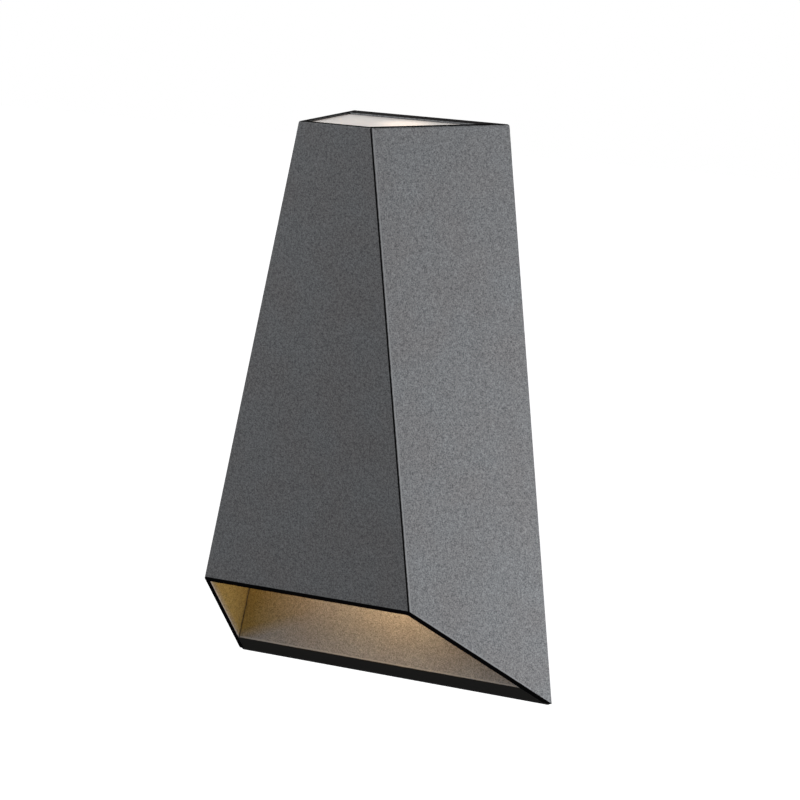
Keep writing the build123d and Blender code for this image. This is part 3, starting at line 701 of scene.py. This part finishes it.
def lens_cones(name, board, lens, upwards, body):
    """The seven cones between a lamp's board and its cover."""
    board_low, board_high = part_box(board)
    lens_low, lens_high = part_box(lens)
    near, far = (board_high.z, lens_low.z) if upwards else (board_low.z, lens_high.z)
    centre = (lens_low + lens_high) / 2
    shape = cone_ring(abs(far - near))
    if not upwards:
        bmesh.ops.rotate(shape, verts=shape.verts, matrix=Matrix.Rotation(math.pi, 3, "X"))
    bmesh.ops.translate(shape, verts=shape.verts, vec=(centre.x, centre.y, (near + far) / 2))
    bmesh.ops.recalc_face_normals(shape, faces=shape.faces)
    mesh = bpy.data.meshes.new(name)
    shape.to_mesh(mesh)
    shape.free()
    piece = bpy.data.objects.new(name, mesh)
    bpy.context.scene.collection.objects.link(piece)
    piece.data.materials.append(cone_plastic)
    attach(piece, body)
    print(name, "faces", len(mesh.polygons))


lens_cones("lamp_up_lens_cones", "lamp_up_board", "lamp_up_lens", True, "lamp_up")
lens_cones("lamp_down_lens_cones", "lamp_down_board", "lamp_down_lens", False, "lamp_down")

# %% [markdown]
# ## The lamps' light
#
# Each lamp shines out of its lens as a warm disc. An area light just clear of the lens does
# the lighting, because it has far less noise than a glowing mesh. In the real opening the
# walls throw the light about until the plate is lit all over. One broad, weak lamp under
# the baffle stands in for that.

# %% Three warm area lights
LAMP_WARM = (1.0, 0.62, 0.28)
LAMP_SHARE = 0.9  # of the lens's width
LAMP_CLEAR = 0.001  # from the lens
DOWN_WATTS = 0.08
UP_WATTS = 0.4
GLOW_SIZE = (0.15, 0.035)
GLOW_MIDDLE = (-0.03, -0.038)
GLOW_CLEAR = 0.004  # below the baffle
GLOW_WATTS = 0.22


def area_light(name, shape, size, watts, colour):
    """A flat lamp at the origin that shines down."""
    light = bpy.data.lights.new(name, "AREA")
    light.shape = shape
    light.size = size
    light.energy = watts
    light.color = colour
    made = bpy.data.objects.new(name, light)
    bpy.context.scene.collection.objects.link(made)
    return made


def lamp_light(name, lens, upwards, watts):
    """A warm disc just in front of a lamp's lens."""
    low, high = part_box(lens)
    made = area_light(name, "DISK", LAMP_SHARE * (high.x - low.x), watts, LAMP_WARM)
    centre = (low + high) / 2
    made.location = (centre.x, centre.y, high.z + LAMP_CLEAR if upwards else low.z - LAMP_CLEAR)
    made.rotation_euler = (math.pi if upwards else 0.0, 0.0, 0.0)


lamp_light("light_down", "lamp_down_lens", False, DOWN_WATTS)
lamp_light("light_up", "lamp_up_lens", True, UP_WATTS)
glow_down = area_light("glow_down", "RECTANGLE", GLOW_SIZE[0], GLOW_WATTS, LAMP_WARM)
glow_down.data.size_y = GLOW_SIZE[1]
glow_down.location = (*GLOW_MIDDLE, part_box("lower_baffle")[0].z - GLOW_CLEAR)
print("warm light, watts", DOWN_WATTS, UP_WATTS, GLOW_WATTS)

# %% [markdown]
# ## The studio
#
# The light hangs on a wall, so the floor is the ground well below it. The background is
# pure white to the camera, to mirrors and through glass; what lights the object is a
# softer sky and two large soft lamps, so that the colours come out about as written.

# %% Floor and sky
FLOOR_Z = -1.9
FLOOR_HALF = 12.0
FLOOR_GREY = (0.8, 0.8, 0.8)
FLOOR_LIT = 0.9  # what the floor adds of its own, to the camera, mirrors and glass alone
SKY = 0.21


def white_to_the_camera(material):
    """1 for rays that come straight from the camera, a mirror or glass."""
    path = add_node(material, "LightPath")
    seen = maths(material, "MAXIMUM", path.outputs["Is Camera Ray"], path.outputs["Is Glossy Ray"])
    return maths(material, "MAXIMUM", seen, path.outputs["Is Transmission Ray"])


def floor_paint():
    """Pale grey that looks white to the camera and still takes a shadow."""
    material, shader = new_material("pale_floor", FLOOR_GREY, 0.9)
    lit = add_node(material, "Emission", {"Color": (1, 1, 1, 1), "Strength": FLOOR_LIT})
    both = add_node(material, "AddShader", {0: shader.outputs[0], 1: lit.outputs[0]})
    pick = add_node(
        material,
        "MixShader",
        {0: white_to_the_camera(material), 1: shader.outputs[0], 2: both.outputs[0]},
    )
    link(material, pick.outputs[0], material.node_tree.nodes["Material Output"].inputs["Surface"])
    return material


def make_floor():
    mesh = bpy.data.meshes.new("floor")
    shape = bmesh.new()
    bmesh.ops.create_grid(shape, x_segments=1, y_segments=1, size=FLOOR_HALF)
    bmesh.ops.translate(shape, verts=shape.verts, vec=(0, 0, FLOOR_Z))
    shape.to_mesh(mesh)
    shape.free()
    floor = bpy.data.objects.new("floor", mesh)
    bpy.context.scene.collection.objects.link(floor)
    floor.data.materials.append(floor_paint())


def make_sky():
    world = bpy.data.worlds.new("studio")
    bpy.context.scene.world = world
    world.use_nodes = True
    background = world.node_tree.nodes["Background"]
    background.inputs["Color"].default_value = (1.0, 1.0, 1.0, 1.0)
    seen = white_to_the_camera(world)
    link(world, between(world, seen, 0.0, 1.0, SKY, 1.0), background.inputs["Strength"])


make_floor()
make_sky()
print("floor at", FLOOR_Z, "sky", SKY)


# %% Soft lamps
def soft_lamp(name, where, aim, size, watts):
    made = area_light(name, "SQUARE", size, watts, WHITE)
    made.location = where
    made.rotation_euler = (Vector(aim) - Vector(where)).to_track_quat("-Z", "Y").to_euler()
    print(name, watts, "watts at", where)


soft_lamp("lamp_right", (1.15, 0.05, -0.27), (0, 0, -0.1), 0.45, 18.0)
soft_lamp("lamp_left", (-0.7, -0.85, 0.75), (-0.05, 0, 0.05), 0.6, 6.4)

# %% [markdown]
# ## The camera
#
# It stands to the right of the light and above it, far back with a long lens, which is
# why the upright lines hardly converge.

# %% Camera
CAMERA_PLACE = (1.5972, -2.4015, 0.6058)
CAMERA_TURN = 33.855
CAMERA_TIP = 78.167
CAMERA_LENS = 182.18
SENSOR = 36.0

camera_data = bpy.data.cameras.new("camera")
camera_data.lens = CAMERA_LENS
camera_data.sensor_width = SENSOR
camera = bpy.data.objects.new("camera", camera_data)
camera.location = CAMERA_PLACE
camera.rotation_euler = (math.radians(CAMERA_TIP), 0.0, math.radians(CAMERA_TURN))
bpy.context.scene.collection.objects.link(camera)
bpy.context.scene.camera = camera
bpy.context.scene.view_settings.view_transform = "Standard"
print("camera", round(camera.location.length, 3), "metres from the wall fixing")
